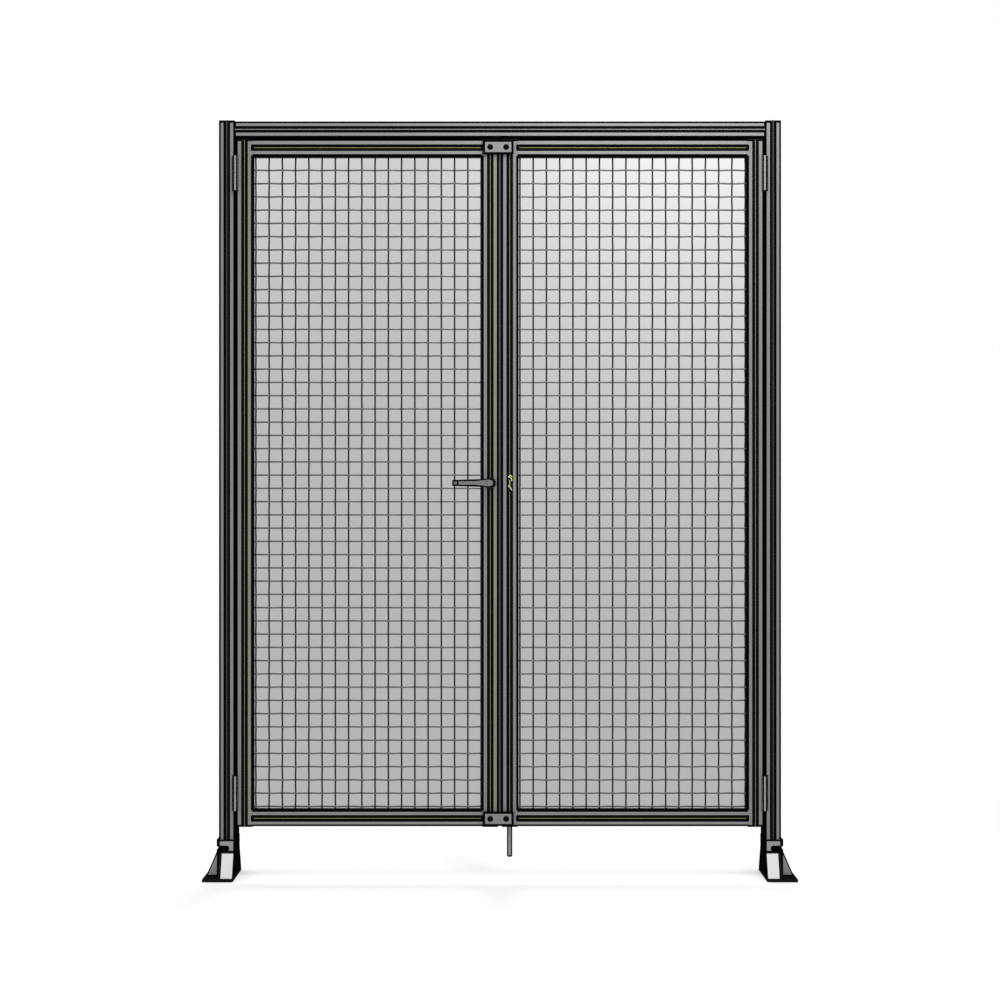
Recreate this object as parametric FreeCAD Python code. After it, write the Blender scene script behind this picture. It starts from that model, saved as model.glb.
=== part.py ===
"""Mesh double door of slotted aluminium profile: a portal on two foot plates, two hinged leaves
with crimped wire mesh, a lever lock on the left leaf and a drop bolt on the right one.

Millimetres, +Z up, the front faces -Y. The origin is on the floor under the left post.
"""
import FreeCAD, Part
import math
import os

V = FreeCAD.Vector
X_AXIS = V(1, 0, 0)
Y_AXIS = V(0, 1, 0)
Z_AXIS = V(0, 0, 1)

# Driving sizes of the doorway
CLEAR_WIDTH = 1500.0
PROFILE = 45.0
POST_DEPTH = 2 * PROFILE
POST_TOP = 2143.0
LEAF_BOTTOM = 149.5
LEAF_TOP = 2091.0
HINGE_GAP = 5.0
MEETING_GAP = 10.0

# Slotted profile section
CORNER_R = 2.0
SLOT_MOUTH = 10.0
SLOT_CHAMFER = 1.2
SLOT_LIP = 4.5
SLOT_INNER = 20.0
SLOT_SHOULDER = 8.0
SLOT_DEPTH = 14.5
SLOT_FLOOR = 10.0
CORE_BORE_R = 5.0

# Foot plate and its three angle brackets
PLATE_THICK = 9.0
PLATE_OVERHANG = 42.0
PLATE_CORNER_R = 6.0
PLATE_EDGE_R = 3.5
BRACKET_TOP = 112.0
BRACKET_LEG = 6.0
BRACKET_REACH = 36.0
CHEEK_TOP = 78.0
CHEEK_THICK = 3.0
NOTCH_HEIGHT = 88.0
NOTCH_WIDTH = 9.0
COVER_THICK = 2.5
ANCHOR_R = 4.5
ANCHOR_OUT = 20.0

# Caps
POST_CAP = 3.0
STILE_CAP = 2.0
CAP_EDGE_R = 0.8

# Crimped wire mesh, drawn flat
WIRE = 4.0
WIRE_PITCH = 37.6
WIRE_COLUMNS = 18
WIRE_ROWS = 50
FIRST_COLUMN = 6.0
FIRST_ROW = 7.0
WIRE_ENTRY = 8.0
ROWS_PER_NODE = (17, 17, 16)
NODE_NAMES = ("lower", "middle", "upper")

# Gasket that holds the mesh in the slot, and the cover strips in the front slots
GASKET_WIDTH = 9.6
GASKET_IN = 12.0
GASKET_PROUD = 2.7
GASKET_REAR_PROUD = 0.5
GASKET_GROOVE = 4.5
GASKET_FLOOR = 2.0
STRIP_WIDTH = 9.6
STRIP_THICK = 2.0
STRIP_RECESS = 1.4

# Barrel hinges
HINGE_R = 6.0
HINGE_FACE_GAP = 0.5
HINGE_HALF = 50.0
HINGE_CAP = 3.0
HINGE_SPLIT = 0.4
PIN_R = 3.0
PIN_CLEARANCE = 0.05
HINGE_PLATE = 1.9
HINGE_PLATE_DEPTH = 34.0
HINGE_HEIGHTS = (244.0, 1995.5)

# Stop plates on the left leaf
STOP_LEFT = 48.5
STOP_RIGHT = 38.5
STOP_HEIGHT = 40.0
STOP_THICK = 4.0
STOP_OFFSET = 5.0
STOP_EDGE_R = 1.5
BUFFER_R = 7.0
BUFFER_CLEARANCE = 0.5
SCREW_SPACING = 45.0
SCREW_HEAD_R = 7.0
SCREW_CROWN_R = 4.6
SCREW_HEAD = 3.4
HEX_R = 2.9
HEX_DEPTH = 1.8

# Lever lock
LEVER_HEIGHT = 1120.0
ROSETTE_R = 16.5
ROSETTE_THICK = 7.0
ROSETTE_EDGE_R = 1.5
LEVER_STANDOFF = 34.0
LEVER_THICK = 12.0
LEVER_BOSS_R = 11.8
LEVER_LENGTH = 107.0
LEVER_TIP_HALF = 8.5
LEVER_BEND_R = 16.0
LEVER_RETURN = 30.0
LEVER_EDGE_R = 2.0
LEVER_OVERLAP = 4.0
NECK_R = 8.0
NECK_END_GAP = 0.5
NECK_CLEARANCE = 0.1
LATCH_HEIGHT = 30.0
LATCH_DEPTH = 9.6
LATCH_IN = 10.0
LATCH_OUT = 3.0
LATCH_BEVEL = 0.3
KEEPER_HEIGHT = 48.0
KEEPER_POCKET = 14.0
KEEPER_POCKET_WIDTH = 5.0
CLAW_THICK = 2.0
CLAW_HALF = 1.2
CLAW_BAR_HALF = 0.7
UPPER_CLAW = ((5.8, 18.4), (1.5, 22.4), (-3.0, 17.4), (2.4, 15.4), (5.8, 11.2), (4.9, 7.0))
LOWER_CLAW = ((-3.2, -7.8), (1.5, -12.2), (5.9, -19.0))
CLAW_BAR = ((0.0, 8.0), (0.0, -8.0))
SEAL_WIDTH = 4.8
SEAL_THICK = 3.0
SEAL_FROM_FACE = 9.0

# Drop bolt behind the right leaf
BOLT_R = 8.0
BOLT_TIP = 52.5
BOLT_LENGTH = 339.5
BOLT_CLEARANCE = 0.05
BOLT_TIP_CHAMFER = 2.5
GUIDE_WIDTH = 36.0
GUIDE_LENGTH = 30.0
GUIDE_OUT = 24.0
GUIDE_BASE = 4.0
GUIDE_SPARE = 1.0
GUIDE_HEIGHTS = (170.0, 340.0)
KNOB_HEIGHT = 300.0
KNOB_R = 6.0
KNOB_OUT = 34.0
KNOB_BALL_R = 10.0

# Places worked out from the sizes above
HALF = PROFILE / 2
MIDDLE_X = HALF + CLEAR_WIDTH / 2
FRONT_Y = -POST_DEPTH / 2
LEAF_BACK_Y = FRONT_Y + PROFILE
MESH_Y = FRONT_Y + HALF
LEAF_WIDTH = (CLEAR_WIDTH - 2 * HINGE_GAP - MEETING_GAP) / 2
LEAF_LEFT = HALF + HINGE_GAP
STILE_LENGTH = LEAF_TOP - LEAF_BOTTOM
RAIL_LENGTH = LEAF_WIDTH - 2 * PROFILE
OPENING_LEFT = LEAF_LEFT + PROFILE
OPENING_BOTTOM = LEAF_BOTTOM + PROFILE
OPENING_HEIGHT = STILE_LENGTH - 2 * PROFILE
MEETING_X = MIDDLE_X - MEETING_GAP / 2 - HALF
HINGE_X = HALF + HINGE_GAP / 2
HINGE_Y = FRONT_Y - HINGE_R - HINGE_FACE_GAP
RAIL_HEIGHTS = (LEAF_BOTTOM + HALF, LEAF_TOP - HALF)
TINY = 0.001

nodes = {}


def box(x0, x1, y0, y1, z0, z1):
    """A block between two corners."""
    return Part.makeBox(x1 - x0, y1 - y0, z1 - z0, V(x0, y0, z0))


def rod(radius, length, start, direction):
    """A round bar from a point along a direction."""
    return Part.makeCylinder(radius, length, start, direction)


def polygon_face(points):
    """A flat face inside a closed run of points."""
    return Part.Face(Part.makePolygon(points + [points[0]]))


def turned(shape, axis, degrees):
    """A copy turned about an axis through the origin."""
    copy = shape.copy()
    copy.rotate(V(0, 0, 0), axis, degrees)
    return copy


def moved(shape, x, y, z):
    """A copy moved to a place."""
    copy = shape.copy()
    copy.translate(V(x, y, z))
    return copy


def mirrored(shape):
    """The same piece on the other side of the doorway."""
    return shape.mirror(V(MIDDLE_X, 0, 0), X_AXIS)


def rounded_edges(solid, radius, direction):
    """Round every straight edge that runs along one direction."""
    edges = []
    for edge in solid.Edges:
        run = edge.Vertexes[-1].Point.sub(edge.Vertexes[0].Point)
        if run.Length > 0 and abs(run.normalize().dot(direction)) > 1 - TINY:
            edges.append(edge)
    return solid.makeFillet(radius, edges)


def rounded_rim(solid, radius, axis, level):
    """Round every edge that lies in one plane square to an axis."""
    edges = []
    for edge in solid.Edges:
        ends = [vertex.Point.dot(axis) for vertex in edge.Vertexes] + [edge.CenterOfMass.dot(axis)]
        if all(abs(end - level) < TINY for end in ends):
            edges.append(edge)
    return solid.makeFillet(radius, edges)


def slot_face():
    """Section of one T-slot, its mouth on the line y = 0 and its floor below."""
    half_mouth = SLOT_MOUTH / 2
    right = [
        (half_mouth + SLOT_CHAMFER, 0),
        (half_mouth, SLOT_CHAMFER),
        (half_mouth, SLOT_LIP),
        (SLOT_INNER / 2, SLOT_LIP),
        (SLOT_INNER / 2, SLOT_SHOULDER),
        (SLOT_FLOOR / 2, SLOT_DEPTH),
    ]
    left = [(-x, depth) for x, depth in reversed(right)]
    return polygon_face([V(x, -depth, 0) for x, depth in right + left])


def profile_bar(width, depth, length):
    """Slotted profile standing on the origin, with a slot and a core bore for each module."""
    section = box(-width / 2, width / 2, -depth / 2, depth / 2, 0, length)
    section = rounded_edges(section, CORNER_R, Z_AXIS)
    cutters = []
    for turn in (0, 90, 180, 270):
        run, reach = (width, depth) if turn % 180 == 0 else (depth, width)
        for module in range(round(run / PROFILE)):
            offset = (module + 0.5) * PROFILE - run / 2
            slot = moved(slot_face(), offset, reach / 2, 0)
            cutters.append(turned(slot, Z_AXIS, turn).extrude(V(0, 0, length)))
    for column in range(round(width / PROFILE)):
        for row in range(round(depth / PROFILE)):
            centre = V((column + 0.5) * PROFILE - width / 2, (row + 0.5) * PROFILE - depth / 2, 0)
            cutters.append(rod(CORE_BORE_R, length, centre, Z_AXIS))
    return section.cut(cutters)


def upright(depth, x, y, bottom, top):
    """A standing profile."""
    return moved(profile_bar(PROFILE, depth, top - bottom), x, y, bottom)


def crosspiece(depth, x0, x1, y, z):
    """A lying profile that runs along X."""
    return moved(turned(profile_bar(PROFILE, depth, x1 - x0), Y_AXIS, 90), x0, y, z)


def end_cap(depth, x, y, z, thick):
    """Moulded cap on the end of a profile, with rounded corners and a rounded outer rim."""
    cap = box(-HALF, HALF, -depth / 2, depth / 2, 0, abs(thick))
    cap = rounded_rim(rounded_edges(cap, CORNER_R, Z_AXIS), CAP_EDGE_R, Z_AXIS, abs(thick))
    if thick < 0:
        cap = cap.mirror(V(0, 0, 0), Z_AXIS)
    return moved(cap, x, y, z)


def foot_plate():
    """Plate under the left post, level with the post inside and reaching out on the other sides."""
    plate = box(-HALF - PLATE_OVERHANG, HALF, -POST_DEPTH / 2 - PLATE_OVERHANG,
                POST_DEPTH / 2 + PLATE_OVERHANG, 0, PLATE_THICK)
    plate = rounded_edges(plate, PLATE_CORNER_R, Z_AXIS)
    plate = rounded_rim(plate, PLATE_EDGE_R, Z_AXIS, PLATE_THICK)
    holes = []
    for x, y in anchor_places():
        holes.append(rod(ANCHOR_R, PLATE_THICK, V(x, y, 0), Z_AXIS))
    return plate.cut(holes)


def anchor_places():
    """Centres of the four anchor holes of the left foot, each under a bracket's cover."""
    out_y = POST_DEPTH / 2 + ANCHOR_OUT
    out_x = -HALF - ANCHOR_OUT
    return [(0, -out_y), (0, out_y), (out_x, -HALF), (out_x, HALF)]


def cheek_outline(inset):
    """Side outline of a bracket's cheek, drawn in the Y-Z plane with the post's face on y = 0."""
    top = CHEEK_TOP - inset
    foot = BRACKET_REACH - inset
    return [
        V(0, 0, PLATE_THICK),
        V(0, -foot, PLATE_THICK),
        V(0, -BRACKET_LEG, top),
        V(0, 0, top),
    ]


def bracket(width):
    """Angle bracket on the post's front: a leg with an open notch between two sloping cheeks."""
    leg = box(-width / 2, width / 2, -BRACKET_LEG, 0, PLATE_THICK, BRACKET_TOP)
    cheek = polygon_face(cheek_outline(0)).extrude(V(CHEEK_THICK, 0, 0))
    cheeks = [moved(cheek, -width / 2, 0, 0), moved(cheek, width / 2 - CHEEK_THICK, 0, 0)]
    body = leg.fuse(cheeks)
    half_notch = NOTCH_WIDTH / 2
    end_x = HALF - width / 2
    notch = box(-width / 2, end_x, -BRACKET_LEG, 0, NOTCH_HEIGHT - half_notch, NOTCH_HEIGHT + half_notch)
    notch = notch.fuse(rod(half_notch, BRACKET_LEG, V(end_x, 0, NOTCH_HEIGHT), V(0, -1, 0)))
    notches = [notch]
    if width > PROFILE:
        notches.append(notch.mirror(V(0, 0, 0), X_AXIS))
    return body.cut(notches).removeSplitter()


def bracket_cover(width):
    """Sloping cover that closes a bracket between its cheeks."""
    inner = width - 2 * CHEEK_THICK
    outside = polygon_face(cheek_outline(0)).extrude(V(inner, 0, 0))
    inside = polygon_face(cheek_outline(COVER_THICK)).extrude(V(inner, 0, 0))
    leg = box(0, inner, -BRACKET_LEG, 0, PLATE_THICK, BRACKET_TOP)
    return moved(outside.cut([inside, leg]), -inner / 2, 0, 0)


def around_post(maker):
    """The same piece on the post's front, outer side and rear."""
    front = moved(maker(PROFILE), 0, FRONT_Y, 0)
    outer = moved(turned(maker(POST_DEPTH), Z_AXIS, -90), -HALF, 0, 0)
    rear = moved(maker(PROFILE).mirror(V(0, 0, 0), Y_AXIS), 0, POST_DEPTH / 2, 0)
    return {"front": front, "outer": outer, "rear": rear}


def hinge_half(height, on_leaf):
    """One half of a barrel hinge: a knuckle, its web and the plate that lies in the gap."""
    near = HINGE_GAP / 2 - HINGE_PLATE
    knuckle = rod(HINGE_R, HINGE_HALF - HINGE_SPLIT, V(0, 0, HINGE_SPLIT), Z_AXIS)
    cap = Part.makeCone(HINGE_R, HINGE_R - HINGE_CAP / 2, HINGE_CAP, V(0, 0, HINGE_HALF), Z_AXIS)
    web = box(near, HINGE_GAP / 2, 0, HINGE_R + HINGE_FACE_GAP, HINGE_SPLIT, HINGE_HALF)
    plate = box(near, HINGE_GAP / 2, HINGE_R + HINGE_FACE_GAP, HINGE_PLATE_DEPTH, -HINGE_HALF, HINGE_HALF)
    half = knuckle.fuse([cap, web, plate]).removeSplitter()
    if on_leaf:
        half = half.cut(rod(PIN_R + PIN_CLEARANCE, HINGE_HALF - HINGE_CAP, V(0, 0, 0), Z_AXIS))
    else:
        pin_end = HINGE_HALF - 2 * HINGE_CAP
        half = half.fuse(rod(PIN_R, HINGE_HALF + pin_end, V(0, 0, -pin_end), Z_AXIS)).removeSplitter()
        half = half.mirror(V(0, 0, 0), X_AXIS).mirror(V(0, 0, 0), Z_AXIS)
    return moved(half, HINGE_X, HINGE_Y, height)


def lattice(columns, rows, x_ends, z_ends):
    """Flat wire lattice, fused where the wires cross, with free wire ends on all four sides."""
    half = WIRE / 2
    left, right = columns[0] - half, columns[-1] + half
    bottom, top = rows[0] - half, rows[-1] + half
    outline = []
    for x in columns:
        a, b = x - half, x + half
        outline += [(a, bottom), (a, z_ends[0]), (b, z_ends[0]), (b, bottom)]
    for z in rows:
        a, b = z - half, z + half
        outline += [(right, a), (x_ends[1], a), (x_ends[1], b), (right, b)]
    for x in reversed(columns):
        a, b = x + half, x - half
        outline += [(a, top), (a, z_ends[1]), (b, z_ends[1]), (b, top)]
    for z in reversed(rows):
        a, b = z + half, z - half
        outline += [(left, a), (x_ends[0], a), (x_ends[0], b), (left, b)]
    wires = [closed_wire(outline)]
    for x0, x1 in zip(columns, columns[1:]):
        for z0, z1 in zip(rows, rows[1:]):
            a, b, c, d = x0 + half, x1 - half, z0 + half, z1 - half
            wires.append(closed_wire([(a, c), (b, c), (b, d), (a, d)]))
    face = Part.makeFace(wires, "Part::FaceMakerBullseye")
    return face.extrude(V(0, WIRE, 0))


def closed_wire(points):
    """A closed outline in the mesh plane, without points that repeat."""
    kept = []
    for x, z in points:
        point = V(x, MESH_Y - WIRE / 2, z)
        if not kept or point.distanceToPoint(kept[-1]) > TINY:
            kept.append(point)
    if kept[0].distanceToPoint(kept[-1]) < TINY:
        kept.pop()
    return Part.makePolygon(kept + [kept[0]])


def mesh_panel(left):
    """The mesh of one leaf, in three lattices that meet half-way between two wires."""
    columns = [left + FIRST_COLUMN + i * WIRE_PITCH for i in range(WIRE_COLUMNS)]
    rows = [OPENING_BOTTOM + FIRST_ROW + i * WIRE_PITCH for i in range(WIRE_ROWS)]
    x_ends = (left - WIRE_ENTRY, left + RAIL_LENGTH + WIRE_ENTRY)
    panels = {}
    first = 0
    for name, count in zip(NODE_NAMES, ROWS_PER_NODE):
        part_rows = rows[first:first + count]
        low = part_rows[0] - WIRE_PITCH / 2
        high = part_rows[-1] + WIRE_PITCH / 2
        if name == NODE_NAMES[0]:
            low = OPENING_BOTTOM - WIRE_ENTRY
        if name == NODE_NAMES[-1]:
            high = OPENING_BOTTOM + OPENING_HEIGHT + WIRE_ENTRY
        panels[name] = lattice(columns, part_rows, x_ends, (low, high))
        first += count
    return panels


def gasket_strip(length):
    """Grooved rubber strip along +X, its groove open towards +Z, with a tall front and a low rear lip."""
    strip = box(0, length, -GASKET_WIDTH / 2, GASKET_WIDTH / 2, -GASKET_IN, GASKET_PROUD)
    groove = box(0, length, -GASKET_GROOVE / 2, GASKET_GROOVE / 2, GASKET_FLOOR - GASKET_IN, GASKET_PROUD)
    spare = box(0, length, GASKET_GROOVE / 2, GASKET_WIDTH / 2, GASKET_REAR_PROUD, GASKET_PROUD)
    return strip.cut([groove, spare])


def mesh_gasket(left):
    """Four gasket strips round one leaf's opening."""
    right = left + RAIL_LENGTH
    top = OPENING_BOTTOM + OPENING_HEIGHT
    lying = gasket_strip(RAIL_LENGTH)
    standing = turned(gasket_strip(OPENING_HEIGHT - 2 * GASKET_PROUD), Y_AXIS, -90)
    foot = OPENING_BOTTOM + GASKET_PROUD
    return [
        moved(lying, left, MESH_Y, OPENING_BOTTOM),
        moved(lying.mirror(V(0, 0, 0), Z_AXIS), left, MESH_Y, top),
        moved(standing.mirror(V(0, 0, 0), X_AXIS), left, MESH_Y, foot),
        moved(standing, right, MESH_Y, foot),
    ]


def slot_strip(x0, x1, z0, z1):
    """Cover strip that closes a front slot just behind its chamfered mouth."""
    y0 = FRONT_Y + STRIP_RECESS
    return box(x0, x1, y0, y0 + STRIP_THICK, z0, z1)


def leaf_strips(left, breaks):
    """Cover strips in the front slots of one leaf, cut where another piece uses the slot."""
    half = STRIP_WIDTH / 2
    strips = []
    for centre in (left + HALF, left + LEAF_WIDTH - HALF):
        bottom = LEAF_BOTTOM
        for low, high in breaks.get(centre, []):
            strips.append(slot_strip(centre - half, centre + half, bottom, low))
            bottom = high
        strips.append(slot_strip(centre - half, centre + half, bottom, LEAF_TOP))
    for z in RAIL_HEIGHTS:
        strips.append(slot_strip(left + PROFILE, left + LEAF_WIDTH - PROFILE, z - half, z + half))
    return strips


def portal_strips():
    """Cover strips in the front slots of the posts and the crossbar."""
    half = STRIP_WIDTH / 2
    strips = [slot_strip(x - half, x + half, BRACKET_TOP, POST_TOP) for x in (0, 2 * MIDDLE_X)]
    z = POST_TOP - HALF
    strips.append(slot_strip(HALF, HALF + CLEAR_WIDTH, z - half, z + half))
    return strips


def stop_plate(z):
    """Stepped plate on the left meeting stile that stops against the right leaf's front."""
    back = FRONT_Y - STOP_OFFSET
    plate = box(MIDDLE_X - STOP_LEFT, MIDDLE_X + STOP_RIGHT, back - STOP_THICK, back,
                z - STOP_HEIGHT / 2, z + STOP_HEIGHT / 2)
    plate = rounded_edges(plate, STOP_EDGE_R, Y_AXIS)
    pad = box(MIDDLE_X - STOP_LEFT, MIDDLE_X - MEETING_GAP, back, FRONT_Y,
              z - STOP_HEIGHT / 2 + STOP_EDGE_R, z + STOP_HEIGHT / 2 - STOP_EDGE_R)
    return plate.fuse(pad).removeSplitter()


def stop_screws(z):
    """The fixing screw in the stile's slot and the screw that holds the buffer."""
    face = FRONT_Y - STOP_OFFSET - STOP_THICK
    heads = []
    for x in (MEETING_X, MEETING_X + SCREW_SPACING):
        head = Part.makeCone(SCREW_HEAD_R, SCREW_CROWN_R, SCREW_HEAD, V(x, face, z), V(0, -1, 0))
        socket = Part.makePolygon([hex_point(x, face - SCREW_HEAD, z, i) for i in range(7)])
        heads.append(head.cut(Part.Face(socket).extrude(V(0, HEX_DEPTH, 0))))
    return heads


def hex_point(x, y, z, index):
    """Corner of a hexagon socket in a screw head."""
    angle = math.radians(60 * index)
    return V(x + HEX_R * math.cos(angle), y, z + HEX_R * math.sin(angle))


def stop_buffer(z):
    """Rubber buffer behind the free end of a stop plate."""
    length = STOP_OFFSET - BUFFER_CLEARANCE
    return rod(BUFFER_R, length, V(MEETING_X + SCREW_SPACING, FRONT_Y - STOP_OFFSET, z), Y_AXIS)


def lock_rosette():
    """Round rose on the stile, with a bore that carries the lever's neck."""
    centre = V(MEETING_X, FRONT_Y, LEVER_HEIGHT)
    outward = V(0, -1, 0)
    rose = rod(ROSETTE_R, ROSETTE_THICK, centre, outward)
    rose = rounded_rim(rose, ROSETTE_EDGE_R, outward, ROSETTE_THICK - FRONT_Y)
    return rose.cut(rod(NECK_R + NECK_CLEARANCE, ROSETTE_THICK, centre, outward))


def lever_front():
    """Front outline of the lever: a round boss and a grip that tapers to a straight end."""
    end_x = -LEVER_LENGTH
    boss_top = V(0, 0, LEVER_BOSS_R)
    boss_bottom = V(0, 0, -LEVER_BOSS_R)
    end_top = V(end_x, 0, LEVER_TIP_HALF)
    end_bottom = V(end_x, 0, -LEVER_TIP_HALF)
    return Part.Wire([
        Part.LineSegment(end_top, boss_top).toShape(),
        Part.Arc(boss_top, V(LEVER_BOSS_R, 0, 0), boss_bottom).toShape(),
        Part.LineSegment(boss_bottom, end_bottom).toShape(),
        Part.LineSegment(end_bottom, end_top).toShape(),
    ])


def lever_side():
    """Top outline of the lever: a flat grip whose end bends back towards the door."""
    outer, inner = LEVER_BEND_R, LEVER_BEND_R - LEVER_THICK
    centre = V(LEVER_BEND_R - LEVER_LENGTH, LEVER_BEND_R, 0)
    middle = V(-math.sqrt(0.5), -math.sqrt(0.5), 0)
    front_left, back_left = centre + V(0, -outer, 0), centre + V(0, -inner, 0)
    outside, inside = centre + V(-outer, 0, 0), centre + V(-inner, 0, 0)
    reach = V(0, LEVER_RETURN - LEVER_BEND_R, 0)
    front_right, back_right = V(LEVER_BOSS_R, 0, 0), V(LEVER_BOSS_R, LEVER_THICK, 0)
    return Part.Wire([
        Part.LineSegment(front_right, front_left).toShape(),
        Part.Arc(front_left, centre + middle * outer, outside).toShape(),
        Part.LineSegment(outside, outside + reach).toShape(),
        Part.LineSegment(outside + reach, inside + reach).toShape(),
        Part.LineSegment(inside + reach, inside).toShape(),
        Part.Arc(inside, centre + middle * inner, back_left).toShape(),
        Part.LineSegment(back_left, back_right).toShape(),
        Part.LineSegment(back_right, front_right).toShape(),
    ])


def lever_handle():
    """Lever with a round boss, a tapering grip and an end bent back to the door, on a round neck."""
    front = FRONT_Y - LEVER_STANDOFF - LEVER_THICK
    outline = Part.Face(lever_front()).extrude(V(0, LEVER_RETURN, 0))
    bent = moved(Part.Face(lever_side()), 0, 0, -LEVER_BOSS_R).extrude(V(0, 0, 2 * LEVER_BOSS_R))
    grip = outline.common(bent).removeSplitter()
    grip = rounded_rim(grip, LEVER_EDGE_R, Y_AXIS, 0)
    neck_start = LEVER_THICK - LEVER_OVERLAP
    neck_length = LEVER_STANDOFF + LEVER_OVERLAP - NECK_END_GAP
    neck = rod(NECK_R, neck_length, V(0, neck_start, 0), Y_AXIS)
    return moved(grip.fuse(neck).removeSplitter(), MEETING_X, front, LEVER_HEIGHT)


def latch_bolt():
    """Bevelled head of the lock's latch, drawn back so that the leaf is free to open."""
    edge = MIDDLE_X - MEETING_GAP / 2
    half = LATCH_DEPTH / 2
    head = polygon_face([
        V(edge - LATCH_IN, MESH_Y - half, 0),
        V(edge + LATCH_OUT, MESH_Y - half, 0),
        V(edge + LATCH_OUT * LATCH_BEVEL, MESH_Y + half, 0),
        V(edge - LATCH_IN, MESH_Y + half, 0),
    ])
    return moved(head.extrude(V(0, 0, LATCH_HEIGHT)), 0, 0, LEVER_HEIGHT - LATCH_HEIGHT / 2)


def latch_keeper():
    """Keeper let into the front slot of the right meeting stile, with a pocket for the latch."""
    x, half = right_meeting_x(), STRIP_WIDTH / 2
    y0, y1 = FRONT_Y, FRONT_Y + SLOT_LIP
    z0 = LEVER_HEIGHT - KEEPER_HEIGHT / 2
    keeper = box(x - half, x + half, y0, y1, z0, z0 + KEEPER_HEIGHT)
    pocket = box(x - KEEPER_POCKET_WIDTH / 2, x + KEEPER_POCKET_WIDTH / 2, y0, y1,
                 LEVER_HEIGHT - KEEPER_POCKET / 2, LEVER_HEIGHT + KEEPER_POCKET / 2)
    return keeper.cut(pocket)


def claw(points, half):
    """Flat bent strip on the front of the keeper, with round ends and bends."""
    outward = V(0, -1, 0)
    places = [V(right_meeting_x() + x, FRONT_Y, LEVER_HEIGHT + z) for x, z in points]
    pieces = [rod(half, CLAW_THICK, place, outward) for place in places]
    for start, end in zip(places, places[1:]):
        along = (end - start).normalize()
        across = V(-along.z, 0, along.x) * half
        band = polygon_face([start + across, end + across, end - across, start - across])
        pieces.append(band.extrude(outward * CLAW_THICK))
    return pieces[0].fuse(pieces[1:]).removeSplitter()


def right_meeting_x():
    """Middle of the right meeting stile."""
    return MIDDLE_X + MEETING_GAP / 2 + HALF


def meeting_seal(edge, outward):
    """Rubber fin on a meeting stile that closes its half of the gap."""
    tip = edge + outward * SEAL_WIDTH
    y = FRONT_Y + SEAL_FROM_FACE
    return box(min(edge, tip), max(edge, tip), y, y + SEAL_THICK, LEAF_BOTTOM, LEAF_TOP)


def bolt_axis():
    """Where the drop bolt stands: behind the right meeting stile."""
    return right_meeting_x(), LEAF_BACK_Y + GUIDE_OUT / 2 + GUIDE_SPARE


def bolt_guides():
    """Two saddle blocks on the back of the stile that guide the drop bolt."""
    x, y = bolt_axis()
    half = GUIDE_OUT / 2
    guides = []
    for z in GUIDE_HEIGHTS:
        top = z + GUIDE_LENGTH
        base = box(x - GUIDE_WIDTH / 2, x + GUIDE_WIDTH / 2, LEAF_BACK_Y, LEAF_BACK_Y + GUIDE_BASE, z, top)
        saddle = rod(half, GUIDE_LENGTH, V(x, y, z), Z_AXIS)
        stem = box(x - half, x + half, LEAF_BACK_Y, y, z, top)
        bore = rod(BOLT_R + BOLT_CLEARANCE, GUIDE_LENGTH, V(x, y, z), Z_AXIS)
        guides.append(base.fuse([saddle, stem]).removeSplitter().cut(bore))
    return guides


def drop_bolt():
    """Round bolt with chamfered ends and a ball knob that stands out behind."""
    x, y = bolt_axis()
    shaft = rod(BOLT_R, BOLT_LENGTH, V(x, y, BOLT_TIP), Z_AXIS)
    rims = [e for e in shaft.Edges if len(e.Vertexes) == 1]
    shaft = shaft.makeChamfer(BOLT_TIP_CHAMFER, rims)
    stem = rod(KNOB_R, KNOB_OUT, V(x, y, KNOB_HEIGHT), Y_AXIS)
    ball = Part.makeSphere(KNOB_BALL_R, V(x, y + KNOB_OUT, KNOB_HEIGHT))
    return shaft.fuse([stem, ball]).removeSplitter()


# Portal: posts, crossbar, caps and feet
left_post = upright(POST_DEPTH, 0, 0, PLATE_THICK, POST_TOP)
nodes["left_post"] = [left_post]
nodes["right_post"] = [mirrored(left_post)]
nodes["top_crossbar"] = [crosspiece(POST_DEPTH, HALF, HALF + CLEAR_WIDTH, 0, POST_TOP - HALF)]
left_cap = end_cap(POST_DEPTH, 0, 0, POST_TOP, POST_CAP)
nodes["left_post_cap"] = [left_cap]
nodes["right_post_cap"] = [mirrored(left_cap)]
left_plate = foot_plate()
nodes["left_foot_plate"] = [left_plate]
nodes["right_foot_plate"] = [mirrored(left_plate)]
for place, shape in around_post(bracket).items():
    nodes["left_foot_bracket_" + place] = [shape]
    nodes["right_foot_bracket_" + place] = [mirrored(shape)]
covers = list(around_post(bracket_cover).values())
nodes["left_foot_covers"] = covers
nodes["right_foot_covers"] = [mirrored(cover) for cover in covers]

# Hinges, two on each side
post_halves = [hinge_half(z, False) for z in HINGE_HEIGHTS]
leaf_halves = [hinge_half(z, True) for z in HINGE_HEIGHTS]
nodes["left_hinge_post_halves"] = post_halves
nodes["right_hinge_post_halves"] = [mirrored(half) for half in post_halves]
nodes["left_hinge_leaf_halves"] = leaf_halves
nodes["right_hinge_leaf_halves"] = [mirrored(half) for half in leaf_halves]

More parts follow.
